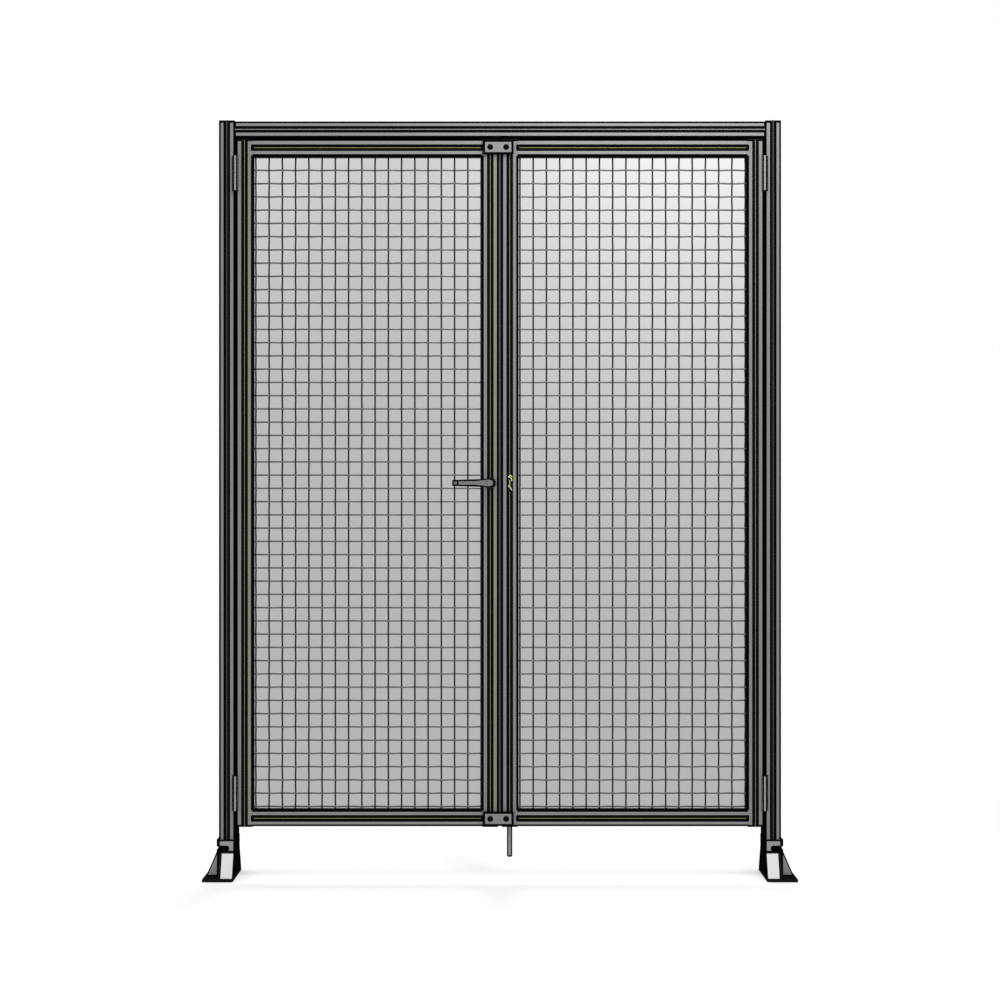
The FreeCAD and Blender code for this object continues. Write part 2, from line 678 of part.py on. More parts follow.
# Leaf frames
leaf_y = FRONT_Y + HALF
hinge_stile = upright(PROFILE, LEAF_LEFT + HALF, leaf_y, LEAF_BOTTOM, LEAF_TOP)
meeting_stile = upright(PROFILE, MEETING_X, leaf_y, LEAF_BOTTOM, LEAF_TOP)
rail_ends = (OPENING_LEFT, OPENING_LEFT + RAIL_LENGTH)
bottom_rail = crosspiece(PROFILE, rail_ends[0], rail_ends[1], leaf_y, RAIL_HEIGHTS[0])
top_rail = crosspiece(PROFILE, rail_ends[0], rail_ends[1], leaf_y, RAIL_HEIGHTS[1])
caps = []
for x in (LEAF_LEFT + HALF, MEETING_X):
    caps.append(end_cap(PROFILE, x, leaf_y, LEAF_TOP, STILE_CAP))
    caps.append(end_cap(PROFILE, x, leaf_y, LEAF_BOTTOM, -STILE_CAP))
frame_pieces = {
    "hinge_stile": [hinge_stile],
    "meeting_stile": [meeting_stile],
    "bottom_rail": [bottom_rail],
    "top_rail": [top_rail],
    "stile_caps": caps,
}
for name, shapes in frame_pieces.items():
    nodes["left_" + name] = shapes
    nodes["right_" + name] = [mirrored(shape) for shape in shapes]

# Mesh, gaskets and slot strips
right_leaf_left = MIDDLE_X + MEETING_GAP / 2
for side, left in (("left", LEAF_LEFT), ("right", right_leaf_left)):
    for name, panel in mesh_panel(left + PROFILE).items():
        nodes[side + "_mesh_" + name] = [panel]
    nodes[side + "_mesh_gasket"] = mesh_gasket(left + PROFILE)
rose_break = (LEVER_HEIGHT - ROSETTE_R, LEVER_HEIGHT + ROSETTE_R)
keeper_break = (LEVER_HEIGHT - KEEPER_HEIGHT / 2, LEVER_HEIGHT + KEEPER_HEIGHT / 2)
nodes["left_slot_strips"] = leaf_strips(LEAF_LEFT, {MEETING_X: [rose_break]})
nodes["right_slot_strips"] = leaf_strips(right_leaf_left, {right_leaf_left + HALF: [keeper_break]})
nodes["portal_slot_strips"] = portal_strips()

# Fittings on the left leaf
nodes["stop_plates"] = [stop_plate(z) for z in RAIL_HEIGHTS]
nodes["stop_plate_screws"] = [screw for z in RAIL_HEIGHTS for screw in stop_screws(z)]
nodes["stop_buffers"] = [stop_buffer(z) for z in RAIL_HEIGHTS]
left_edge = MIDDLE_X - MEETING_GAP / 2
nodes["left_meeting_seal"] = [meeting_seal(left_edge, 1)]
nodes["lock_rosette"] = [lock_rosette()]
nodes["latch_bolt"] = [latch_bolt()]
nodes["lever_handle"] = [lever_handle()]

# Fittings on the right leaf
nodes["right_meeting_seal"] = [meeting_seal(right_leaf_left, -1)]
nodes["latch_keeper"] = [latch_keeper()]
claws = ((UPPER_CLAW, CLAW_HALF), (LOWER_CLAW, CLAW_HALF), (CLAW_BAR, CLAW_BAR_HALF))
nodes["keeper_claws"] = [claw(points, half) for points, half in claws]
nodes["drop_bolt_guides"] = bolt_guides()
nodes["drop_bolt"] = [drop_bolt()]

os.makedirs("parts", exist_ok=True)
for name, shapes in nodes.items():
    shape = shapes[0] if len(shapes) == 1 else Part.makeCompound(shapes)
    shape.exportStep("parts/" + name + ".step")
print(len(nodes), "nodes")
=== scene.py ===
"""Mesh double door: a portal of slotted aluminium bar on two feet, with two hinged leaves of
crimped wire mesh, a lever lock, stop plates and a drop bolt. Metres, +Z up, the front faces -Y."""
import math

import bpy
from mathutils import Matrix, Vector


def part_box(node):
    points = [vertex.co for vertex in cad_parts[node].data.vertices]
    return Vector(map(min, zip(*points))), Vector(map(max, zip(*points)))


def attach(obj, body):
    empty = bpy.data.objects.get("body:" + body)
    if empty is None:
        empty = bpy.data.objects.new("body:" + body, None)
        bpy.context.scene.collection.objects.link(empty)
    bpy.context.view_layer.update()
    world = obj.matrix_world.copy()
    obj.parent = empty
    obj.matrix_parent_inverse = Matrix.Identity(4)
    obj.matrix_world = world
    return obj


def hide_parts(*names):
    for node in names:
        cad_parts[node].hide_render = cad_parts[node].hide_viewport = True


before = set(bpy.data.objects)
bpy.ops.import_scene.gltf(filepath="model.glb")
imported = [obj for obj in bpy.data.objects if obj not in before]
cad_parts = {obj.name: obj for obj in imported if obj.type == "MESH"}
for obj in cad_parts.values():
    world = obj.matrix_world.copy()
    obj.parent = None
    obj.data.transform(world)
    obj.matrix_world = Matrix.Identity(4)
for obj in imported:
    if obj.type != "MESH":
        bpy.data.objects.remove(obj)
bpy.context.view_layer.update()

# The portal is cut from extruded aluminium bar with a T-slot in every side: two posts and a crossbar
# between them, sawn square and screwed together through their cores. The satin anodised faces keep
# the fine lines of the die, and the edges and slot lips are painted black as painted shade.


class Reading:
    """A number read off a surface. Sums of readings turn into Math nodes of the finish."""

    def __init__(self, finish, socket):
        self.finish = finish
        self.socket = socket

    def math(self, operation, first, second):
        return self.finish.add("ShaderNodeMath", 0, {"operation": operation}, {0: first, 1: second})

    def __add__(self, other):
        return self.math("ADD", self, other)

    def __sub__(self, other):
        return self.math("SUBTRACT", self, other)

    def __rsub__(self, other):
        return self.math("SUBTRACT", other, self)

    def __mul__(self, other):
        return self.math("MULTIPLY", self, other)

    def __truediv__(self, other):
        return self.math("DIVIDE", self, other)

    def __pow__(self, other):
        return self.math("POWER", self, other)

    def __or__(self, other):
        return self.math("MAXIMUM", self, other)

    def __abs__(self):
        return self.math("ABSOLUTE", self, 0.0)

    __radd__ = __add__
    __rmul__ = __mul__


class Shading:
    """The nodes of one material or of the world."""

    def __init__(self, tree):
        self.tree = tree

    def add(self, kind, output, settings, sockets):
        """Any node, with its settings, the values or links of its sockets, and the output to read."""
        node = self.tree.nodes.new(kind)
        for setting, value in settings.items():
            setattr(node, setting, value)
        for socket, value in sockets.items():
            self.feed(node.inputs[socket], value)
        return Reading(self, node.outputs[output])

    def feed(self, socket, value):
        if isinstance(value, Reading):
            self.tree.links.new(value.socket, socket)
        else:
            socket.default_value = value

    def place(self, axes, source="Object"):
        """Where a point of the surface is along some axes."""
        where = self.add("ShaderNodeTexCoord", source, {}, {})
        return [self.add("ShaderNodeSeparateXYZ", axis, {}, {0: where}) for axis in axes]

    def step(self, reading, low, high):
        """Rises smoothly from 0 at low to 1 at high."""
        limits = {"From Min": low, "From Max": high, "Value": reading}
        return self.add("ShaderNodeMapRange", "Result", {"interpolation_type": "SMOOTHSTEP"}, limits)

    def grain(self, cells, detail=2.0):
        """Noise of so many cells per metre, the same every way or along x, y and z."""
        scale = cells if isinstance(cells, tuple) else (cells, cells, cells)
        where = self.add("ShaderNodeTexCoord", "Object", {}, {})
        spread = self.add("ShaderNodeMapping", "Vector", {}, {"Vector": where, "Scale": scale})
        return self.add("ShaderNodeTexNoise", 0, {}, {"Vector": spread, "Scale": 1.0, "Detail": detail})

    def blend(self, amount, first, second):
        """A colour between two others."""
        pair = [c if isinstance(c, Reading) else (*c, 1.0) for c in (first, second)]
        return self.add("ShaderNodeMix", 2, {"data_type": "RGBA"}, {0: amount, 6: pair[0], 7: pair[1]})


def grey(level):
    """A neutral colour."""
    return (level, level, level)


edge_black = grey(0.002)


class Finish(Shading):
    """One surface finish: a shader and the nodes that feed it. Its markings end softly."""

    def __init__(self, name, gloss=0.5, soft=0.0004):
        self.material = bpy.data.materials.new(name)
        self.material.use_nodes = True
        super().__init__(self.material.node_tree)
        self.surface = self.tree.nodes["Principled BSDF"]
        self.set("Specular IOR Level", gloss)
        self.soft = soft

    def set(self, socket, value):
        self.feed(self.surface.inputs[socket], value)

    def past(self, reading, limit):
        """1 where a reading is past a limit."""
        return self.step(reading, limit - self.soft, limit)

    def under(self, reading, limit):
        """1 where a reading is under a limit."""
        return 1.0 - self.past(reading, limit)

    def coat(self, grain, dull, light, rough, spread):
        """A colour from dull to light, and a roughness that rises by its spread, with the grain."""
        self.colour = self.blend(grain, dull, light)
        self.set("Base Color", self.colour)
        self.set("Roughness", rough + grain * spread)

    def blacken(self, dark, metal=0.0):
        """Black where a reading is 1, and elsewhere the colour of the coat, with a share of bare metal."""
        self.set("Base Color", self.blend(dark, self.colour, edge_black))
        if metal:
            self.set("Metallic", metal - dark * metal)

    def relief(self, height, depth):
        """Raised and sunken detail of a given depth in metres."""
        sockets = {"Height": height, "Distance": depth, "Strength": 1.0}
        self.set("Normal", self.add("ShaderNodeBump", "Normal", {}, sockets))


def paint(finish, *names):
    """Gives CAD nodes their finish."""
    for name in names:
        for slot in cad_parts[name].material_slots:
            slot.material = finish.material


def from_pair(reading, low, high):
    """How far a reading is from the nearer of two values."""
    return abs(abs(reading - (low + high) / 2) - (high - low) / 2)


def from_centre(across, up):
    """How far a point is from a centre, by its distances across and up."""
    return (across * across + up * up) ** 0.5


low_hinge, high_hinge = 0.244, 1.9955


def anodised_bar(node, lying, inner_side, outer_line, end_line=0.0, hinge_line=0.0, opening=None):
    """Finish of one bar: grey faces with die lines along it, and black painted along the edges and slot
    lips in front as painted shade. The front half of its inner side is painted black as shade, and so are a
    post's foot and the rear of a post's inner side below the leaf. A stile's inner edge is plain at a rail,
    and at a hinge the painted shade on the edge reaches further in beside the barrels."""
    low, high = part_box(node)
    middle, half = (low + high) / 2, (high - low) / 2
    across, run = (2, 0) if lying else (0, 2)
    finish = Finish("anodised_" + node, gloss=0.0)
    place = finish.place("XYZ")
    offset = place[across] - middle[across]
    inward = offset * inner_side
    edge_line, lip_middle, lip_half, front_depth, wall_depth = 0.0042, 0.0071, 0.0026, 0.0029, 0.0116
    front = finish.under(place[1] - low[1], front_depth)
    # Painted shade: black lines along the front edges, the slot lips and the bar ends.
    line = finish.past(inward, half[across] - edge_line)
    if opening:
        opening_half = (opening[1] - opening[0]) / 2
        line = line * finish.under(abs(place[2] - sum(opening) / 2), opening_half + finish.soft)
        slot_round, rail_half = 0.005, 0.0225
        off_rail = from_pair(place[2], opening[0] - rail_half, opening[1] + rail_half)
        off_slot = (off_rail - (lip_middle + lip_half - slot_round)) | 0.0
        line = line | finish.under(from_centre(off_slot, half[across] - inward), slot_round)
    line = line | finish.past(0.0 - inward, half[across] - outer_line)
    line = line | finish.under(from_pair(offset, -lip_middle, lip_middle), lip_half)
    if end_line:
        line = line | finish.past(abs(place[run] - middle[run]), half[run] - end_line)
    # Painted shade: beside the hinge barrels the black edge reaches further in.
    if hinge_line:
        barrel_reach = 0.0504
        at_hinge = finish.under(from_pair(place[2], low_hinge, high_hinge), barrel_reach)
        to_hinge = 0.0 - inward if opening else inward
        line = line | at_hinge * finish.past(to_hinge, half[across] - hinge_line)
    # Painted shade: the front half of the inner side, which faces the opening, is black.
    shaded_inner_wall = finish.past(inward, half[across] - wall_depth) * (1.0 - front)
    dark = line * front | shaded_inner_wall * finish.past(middle[1] - place[1], finish.soft)
    # Painted shade: a post is black at its foot, and on the rear of its inner side below the leaf.
    if not lying and not opening:
        foot_shade_top, below_leaf = 0.1004, 0.1484
        off_rear = finish.past(high[1] - place[1], front_depth)
        dark = dark | finish.under(place[2], foot_shade_top)
        dark = dark | shaded_inner_wall * off_rear * finish.under(place[2], below_leaf)
    face_grey = (0.204, 0.207, 0.204) if lying else (0.187, 0.19, 0.187)
    worn_grey = [1.25 * part for part in face_grey]
    fine, coarse, line_detail, line_share = 1500.0, 5.0, 3.0, 0.3
    cloudy, cloud_share = 9.0, 0.7
    smooth, rougher = 0.34, 0.16
    lines = finish.grain((coarse, fine, fine) if lying else (fine, fine, coarse), line_detail)
    wear = finish.grain(cloudy) * cloud_share + lines * line_share
    finish.colour = finish.blend(wear, face_grey, worn_grey)
    finish.set("Roughness", smooth + lines * rougher)
    finish.blacken(dark, metal=0.25)
    finish.relief(lines, depth=0.00003)
    paint(finish, node)


for side, inner_side in (("left", 1.0), ("right", -1.0)):
    anodised_bar(side + "_post", lying=False, inner_side=inner_side, outer_line=0.0054, end_line=0.0042,
                 hinge_line=0.0075)
anodised_bar("top_crossbar", lying=True, inner_side=-1.0, outer_line=0.0054, end_line=0.0035)

# Each post stands on a steel foot plate with three angle brackets of bent sheet steel, and a light
# moulded cover snapped over each bracket. The open notches take the screws that clamp the post. The
# plate is coated black, and the brackets are grey, with black painted along their edges and round the
# notches as painted shade.
plate_coat = Finish("foot_plate_coating", gloss=0.0)
speckle = plate_coat.grain(900.0)
plate_coat.coat(speckle, grey(0.004), grey(0.012), rough=0.42, spread=0.2)
plate_coat.relief(speckle, depth=0.00015)
paint(plate_coat, "left_foot_plate", "right_foot_plate")

sheet = Finish("bracket_sheet", gloss=0.0, soft=0.0005)
speckle = sheet.grain(700.0)
sheet.coat(speckle, grey(0.25), grey(0.32), rough=0.4, spread=0.15)
sheet.relief(speckle, depth=0.0001)
door_middle, half_bar, rim = 0.7725, 0.0225, 0.004
leg_top, cheek_top, plate_top, reach, leg = 0.112, 0.078, 0.009, 0.036, 0.006
notch_height, notch_half = 0.088, 0.0045
x, y, height = sheet.place("XYZ")
from_post = door_middle - abs(x - door_middle)
outward = 0.0 - from_post - half_bar
notch_gap = abs(height - notch_height)
# Painted shade: the notches and the edges of the brackets are black.
notch = sheet.under(notch_gap, notch_half + rim) * sheet.under(from_post, sheet.soft)
front_dark = notch | sheet.under(from_centre(from_post, notch_gap), notch_half + rim)
for edge in (half_bar - abs(from_post), leg_top - height, abs(height - cheek_top)):
    front_dark = front_dark | sheet.under(edge, rim)
slope = math.atan2(reach - leg, cheek_top - plate_top)
off_slope = (reach - outward) * math.cos(slope) - (height - plate_top) * math.sin(slope)
outer_dark = sheet.under(outward, leg) | sheet.under(cheek_top - height, 0.0)
for edge in (off_slope, leg_top - height, height - plate_top):
    outer_dark = outer_dark | sheet.under(edge, rim)
on_front = sheet.past(abs(y) - 2 * half_bar, sheet.soft)
sheet.blacken(front_dark * on_front + outer_dark * (1.0 - on_front), metal=0.3)
for side in ("left", "right"):
    paint(sheet, *[side + "_foot_bracket_" + where for where in ("front", "outer", "rear")])

cover = Finish("cover_plastic", gloss=0.1, soft=0.0005)
texture = cover.grain(1400.0)
cover.coat(texture, (0.7, 0.7, 0.69), (0.8, 0.8, 0.79), rough=0.38, spread=0.2)
cover.relief(texture, depth=0.00008)
outer_margin, inner_margin, top_margin = 0.0103, 0.044, 0.074
x, y, height = cover.place("XYZ")
from_outer = door_middle - abs(x - door_middle) + half_bar
# Painted shade: the cover is black along its side margins and at its top, clear of the post.
margin = cover.under(from_outer, outer_margin) | cover.past(from_outer, inner_margin)
margin = margin | cover.past(height, top_margin)
cover.blacken(margin * cover.past(abs(y), 2 * half_bar + cover.soft))
paint(cover, "left_foot_covers", "right_foot_covers")

# Black moulded caps close the sawn ends of the posts and of the leaf stiles. They are pressed on, and
# their outer rims are rounded.
cap = Finish("cap_plastic", gloss=0.04)
pebble = cap.grain(1600.0)
cap.coat(pebble, grey(0.004), grey(0.012), rough=0.36, spread=0.25)
cap.relief(pebble, depth=0.00008)
paint(cap, "left_post_cap", "right_post_cap", "left_stile_caps", "right_stile_caps")

# Barrel hinges of turned steel stand in front of the gap, with their plates screwed to the bars. The
# barrels are painted black as shade, with a painted highlight along four lines.
hinge = Finish("hinge_steel", gloss=0.0)
turning = hinge.grain((60.0, 60.0, 2500.0))
hinge.coat(turning, grey(0.28), grey(0.36), rough=0.3, spread=0.2)
hinge.relief(turning, depth=0.00003)
axis_x, axis_y, highlight_half, highlight_length = 0.025, -0.0515, 0.0023, 0.049
x, y, height = hinge.place("XYZ")
# Painted highlight: four light lines along each barrel; the rest is painted black as shade.
aside = abs(door_middle - abs(x - door_middle) - axis_x)
dark = hinge.past(aside, highlight_half) * hinge.past(abs(y - axis_y), highlight_half)
dark = dark | hinge.past(from_pair(height, low_hinge, high_hinge), highlight_length)
hinge.blacken(dark, metal=0.4)
for side in ("left", "right"):
    paint(hinge, side + "_hinge_post_halves", side + "_hinge_leaf_halves")

# Each leaf is a frame of the smaller bar: two standing stiles with two rails screwed between them,
# their front faces level.
opening = (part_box("left_bottom_rail")[1].z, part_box("left_top_rail")[0].z)
for side, inner_side in (("left", 1.0), ("right", -1.0)):
    anodised_bar(side + "_hinge_stile", lying=False, inner_side=inner_side, outer_line=0.0034,
                 end_line=0.0042, hinge_line=0.0045, opening=opening)
    anodised_bar(side + "_meeting_stile", lying=False, inner_side=-inner_side, outer_line=0.004,
                 end_line=0.0042, opening=opening)
    anodised_bar(side + "_bottom_rail", lying=True, inner_side=1.0, outer_line=0.0054)
    anodised_bar(side + "_top_rail", lying=True, inner_side=-1.0, outer_line=0.0034)

# A black rubber gasket in the inner slots grips the wire ends all round the opening. Rubber seals along
# the meeting stiles close the gap between the leaves with a paler lip.
rubber = Finish("gasket_rubber", gloss=0.0)
bloom = rubber.grain(700.0)
rubber.coat(bloom, grey(0.003), grey(0.01), rough=0.6, spread=0.25)
rubber.relief(bloom, depth=0.0001)
paint(rubber, "left_mesh_gasket", "right_mesh_gasket")
seal = Finish("seal_rubber", gloss=0.0)
seal.coat(seal.grain(300.0), grey(0.05), grey(0.065), rough=0.6, spread=0.25)
lip_x, lip_half = 0.7716, 0.0018
lip = seal.under(abs(seal.place("X")[0] - lip_x), lip_half)
seal.set("Base Color", seal.blend(lip, grey(0.006), seal.colour))
paint(seal, "left_meeting_seal", "right_meeting_seal")

# Black strips pressed into the front slots of the leaves and the portal keep dirt out, and their black
# also stands in for the shade of the slots. A raised line runs along their middle, yellow on the leaves
# and grey on the portal, painted darker on the posts than on the crossbar as painted shade.
paint(rubber, "left_slot_strips", "right_slot_strips", "portal_slot_strips")


def raised_line(start, end):
    """One raised line on a strip: a slim bar with its edges rounded off."""
    bpy.ops.object.select_all(action="DESELECT")
    middle = [(a + b) / 2 for a, b in zip(start, end)]
    bpy.ops.mesh.primitive_cube_add(size=1.0, location=middle)
    piece = bpy.context.object
    piece.scale = [b - a for a, b in zip(start, end)]
    bpy.ops.object.transform_apply(location=True, rotation=True, scale=True)
    rounding = piece.modifiers.new("rounding", "BEVEL")
    rounding.width = 0.0003
    rounding.segments = 2
    bpy.ops.object.modifier_apply(modifier="rounding")
    return piece


def joined(pieces, name):
    """Several loose pieces made into one."""
    bpy.ops.object.select_all(action="DESELECT")
    for piece in pieces:
        piece.select_set(True)
    bpy.context.view_layer.objects.active = pieces[0]
    if len(pieces) > 1:
        bpy.ops.object.join()
    pieces[0].name = name
    pieces[0].data.name = name
    return pieces[0]


line_half, line_front, line_back = 0.0007, 0.0441, 0.0434


def strip_lines(name, runs, finish, body):
    """The raised lines of one leaf or of the portal, as one piece."""
    pieces = []
    for (x0, z0), (x1, z1) in runs:
        wide = (line_half, 0.0) if x0 == x1 else (0.0, line_half)
        pieces.append(raised_line((x0 - wide[0], -line_front, z0 - wide[1]),
                                  (x1 + wide[0], -line_back, z1 + wide[1])))
    piece = joined(pieces, name)
    piece.data.materials.append(finish.material)
    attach(piece, body)


yellow = Finish("strip_yellow")
yellow.coat(yellow.grain(500.0), (0.19, 0.19, 0.04), (0.25, 0.25, 0.06), rough=0.42, spread=0.2)
pale = Finish("strip_grey")
pale.coat(pale.grain(500.0), grey(0.3), grey(0.36), rough=0.42, spread=0.2)
# Painted shade: the grey line is darker on the posts than on the crossbar.
posts_from, posts_full = 0.755, 0.76
shaded_on_post = pale.step(abs(pale.place("X")[0] - door_middle), posts_from, posts_full)
pale.set("Base Color", pale.blend(shaded_on_post, pale.colour, grey(0.08)))

strip_half, line_short = 0.0048, 0.004
lock_middle, rose_half, keeper_half = 1.12, 0.0165, 0.024
for side, cut in (("left", rose_half), ("right", keeper_half)):
    low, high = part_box(side + "_slot_strips")
    hinge_x, meet_x = low.x + strip_half, high.x - strip_half
    if side == "right":
        hinge_x, meet_x = meet_x, hinge_x
    runs = [((hinge_x, low.z), (hinge_x, high.z)), ((meet_x, low.z), (meet_x, lock_middle - cut)),
            ((meet_x, lock_middle + cut), (meet_x, high.z))]
    for rail in ("_bottom_rail", "_top_rail"):
        a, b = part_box(side + rail)
        runs.append(((a.x + line_short, (a.z + b.z) / 2), (b.x - line_short, (a.z + b.z) / 2)))
    strip_lines(side + "_slot_lines", runs, yellow, side + "_leaf")
low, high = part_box("portal_slot_strips")
bar_low, bar_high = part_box("top_crossbar")
runs = [((x, low.z), (x, high.z)) for x in (low.x + strip_half, high.x - strip_half)]
runs.append(((bar_low.x, (bar_low.z + bar_high.z) / 2), (bar_high.x, (bar_low.z + bar_high.z) / 2)))
strip_lines("portal_slot_lines", runs, pale, "frame")

# The mesh is woven from round wire that is crimped first, so that every wire passes in front of one
# crossing wire and behind the next. The level wires are galvanised, and the upright ones are given a
# darker, dull colour as painted shade, since the level wires catch more of the light from above.
upright_wire = Finish("upright_wire", gloss=0.05)
upright_wire.coat(upright_wire.grain(350.0), grey(0.014), grey(0.03), rough=0.4, spread=0.25)
level_wire = Finish("level_wire")
level_wire.coat(level_wire.grain(350.0), grey(0.1), grey(0.16), rough=0.4, spread=0.25)
level_wire.set("Metallic", 1.0)
wire_radius = 0.00235
wire_pitch = 0.03763
wire_sides = 8
bends_per_pitch = 4


def crimped_wire(start, run, first_crossing, length):
    """One wire from a start point along an axis, bent in and out round every wire that it crosses."""
    bpy.ops.object.select_all(action="DESELECT")
    turn = (0.0, math.pi / 2, 0.0) if run == 0 else (0.0, 0.0, 0.0)
    step = wire_pitch / bends_per_pitch
    stations = [0.0]
    ahead = first_crossing % step
    while ahead < length - step / 4:
        if ahead > step / 4:
            stations.append(ahead)
        ahead += step
    stations.append(length)

    def bow(along):
        return wire_radius * math.cos(math.pi * (along - first_crossing) / wire_pitch)

    place = list(start)
    place[1] += bow(0.0)
    bpy.ops.mesh.primitive_circle_add(vertices=wire_sides, radius=wire_radius, fill_type="NGON",
                                      location=place, rotation=turn)
    bpy.ops.object.transform_apply(location=True, rotation=True, scale=True)
    piece = bpy.context.object
    bpy.ops.object.mode_set(mode="EDIT")
    bpy.ops.mesh.select_all(action="SELECT")
    for here, there in zip(stations, stations[1:]):
        move = [0.0, bow(there) - bow(here), 0.0]
        move[run] = there - here
        bpy.ops.mesh.extrude_region_move(TRANSFORM_OT_translate={"value": move})
    bpy.ops.mesh.select_all(action="SELECT")
    bpy.ops.mesh.normals_make_consistent(inside=False)
    bpy.ops.object.mode_set(mode="OBJECT")
    return piece


def woven_set(first, run, count, plane):
    """A row of wires: the first and its opposite neighbour, repeated in pairs."""
    spread = 2 if run == 0 else 0
    bpy.ops.object.select_all(action="DESELECT")
    first.select_set(True)
    bpy.context.view_layer.objects.active = first
    bpy.ops.object.duplicate()
    second = bpy.context.object
    bpy.ops.object.mode_set(mode="EDIT")
    bpy.ops.mesh.select_all(action="SELECT")
    bpy.ops.transform.resize(value=(1.0, -1.0, 1.0), center_override=(0.0, plane, 0.0))
    move = [0.0, 0.0, 0.0]
    move[spread] = wire_pitch
    bpy.ops.transform.translate(value=move)
    bpy.ops.mesh.normals_make_consistent(inside=False)
    bpy.ops.object.mode_set(mode="OBJECT")
    pair = joined([first, second], "wire_pair")
    pairs = pair.modifiers.new("pairs", "ARRAY")
    pairs.count = count // 2
    pairs.use_relative_offset = False
    pairs.use_constant_offset = True
    pairs.constant_offset_displace = [2 * part for part in move]
    bpy.ops.object.modifier_apply(modifier="pairs")
    return pair


first_column, first_row, columns, rows = 0.0066, 0.0076, 18, 50
entry = 0.008
from_side, from_below = first_column + entry, first_row + entry
for side in ("left", "right"):
    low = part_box(side + "_mesh_lower")[0]
    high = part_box(side + "_mesh_upper")[1]
    plane = (low.y + high.y) / 2
    upright = crimped_wire((low.x + from_side, plane, low.z), 2, from_below, high.z - low.z)
    uprights = woven_set(upright, 2, columns, plane)
    across = crimped_wire((low.x, plane, low.z + from_below), 0, from_side + wire_pitch, high.x - low.x)
    levels = woven_set(across, 0, rows, plane)
    for weave, name, finish in ((uprights, "_upright_wires", upright_wire),
                                (levels, "_level_wires", level_wire)):
        joined([weave], side + name)
        weave.data.materials.append(finish.material)
        for face in weave.data.polygons:
            face.use_smooth = len(face.vertices) == 4
        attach(weave, side + "_leaf")
        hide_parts(side + "_mesh_lower", side + "_mesh_middle", side + "_mesh_upper")

# Two stop plates of bent sheet steel on the left leaf reach over the right one, with a rubber buffer
# behind their free ends. Black button screws hold them.
plate_steel = Finish("plate_steel", gloss=0.0)
brush = plate_steel.grain((40.0, 1500.0, 1500.0))
plate_steel.coat(brush, grey(0.19), grey(0.25), rough=0.36, spread=0.2)
low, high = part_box("stop_plates")
low_plate, high_plate, plate_half = 0.172, 2.0685, 0.02
side_rim, rim, screw_reach, shade_ring = 0.0064, 0.0056, 0.0225, 0.0086
x, height = plate_steel.place("XZ")
x_off = abs(x - (low.x + high.x) / 2)
z_off = from_pair(height, low_plate, high_plate)
# Painted shade: the plates' edges and a ring round each screw head are black.
border = plate_steel.past(x_off, (high.x - low.x) / 2 - side_rim)
border = border | plate_steel.past(z_off, plate_half - rim)
border = border | plate_steel.under(from_centre(abs(x_off - screw_reach), z_off), shade_ring)
plate_steel.blacken(border, metal=0.3)
paint(plate_steel, "stop_plates")
paint(rubber, "stop_buffers")
screw = Finish("screw_black", gloss=0.02)
screw.coat(screw.grain(900.0), grey(0.002), grey(0.006), rough=0.32, spread=0.2)
paint(screw, "stop_plate_screws")

# The lever lock: a cast lever on a round rose, with a bevelled latch in the edge of the leaf and its
# keeper let into the other leaf's slot. The lever's edges and the bend of its tip are painted black as
# painted shade.
lever = Finish("lever_casting", gloss=0.0)
cast_grain = lever.grain(800.0)
lever.coat(cast_grain, grey(0.15), grey(0.19), rough=0.32, spread=0.2)
lever.relief(cast_grain, depth=0.00006)
pivot_x, boss, tip_half, grip_end, lever_end = 0.745, 0.0118, 0.0085, 0.091, 0.107
face_wide, face_slim, neck = 0.0092, 0.005, 0.05
rim, front_y, bend_half, tip_line, tip_rim = 0.0036, 0.083, 0.0026, 0.0044, 0.0048
x, y, height = lever.place("XYZ")
along = pivot_x - x
rise = abs(height - lock_middle)
face_half = face_wide - (face_wide - face_slim) * lever.step(along, 0.0, neck)
# Painted shade: black along the lever's edges, round its boss, in two short dashes, along the bend and at
# the tip.
dark = lever.past(rise - face_half, 0.0)
dark = dark | lever.past(from_centre(along, rise), boss - rim) * lever.under(along, lever.soft)
dash_half, dash_start = 0.0008, 0.0067
for dash_end, dash_height in ((0.013, 1.1245), (0.0151, 1.1191)):
    dash = lever.under(abs(height - dash_height), dash_half)
    dark = dark | dash * lever.past(along, dash_start) * lever.under(along, dash_end)
bend = lever.under(abs(along - grip_end), bend_half)
lever_half = boss - along * ((boss - tip_half) / lever_end)
tip = lever.past(along, grip_end + lever.soft) * lever.past(rise - lever_half, -tip_rim)
tip = tip | lever.past(along, lever_end - tip_line)
lever.blacken(dark * lever.past(0.0 - y, front_y) | bend | tip, metal=0.3)
paint(lever, "lever_handle")
rose = Finish("rose_black", gloss=0.08)
rose.coat(rose.grain(800.0), grey(0.005), grey(0.012), rough=0.34, spread=0.2)
paint(rose, "lock_rosette", "latch_keeper")
keeper_yellow = Finish("keeper_yellow")
keeper_yellow.coat(keeper_yellow.grain(900.0), (0.62, 0.62, 0.14), (0.76, 0.76, 0.2), rough=0.4, spread=0.2)
paint(keeper_yellow, "keeper_claws")

# The drop bolt of round steel slides in two cast guides behind the right leaf's meeting stile. It is
# painted black as shade, as the latch is, with a painted highlight along its sides.
steel = Finish("bolt_steel", gloss=0.0, soft=0.0005)
steel.coat(steel.grain((1500.0, 1500.0, 20.0)), grey(0.24), grey(0.3), rough=0.28, spread=0.2)
bolt_x, bolt_y, highlight_half, tip_top = 0.8, 0.013, 0.004, 0.058
x, y, height = steel.place("XYZ")
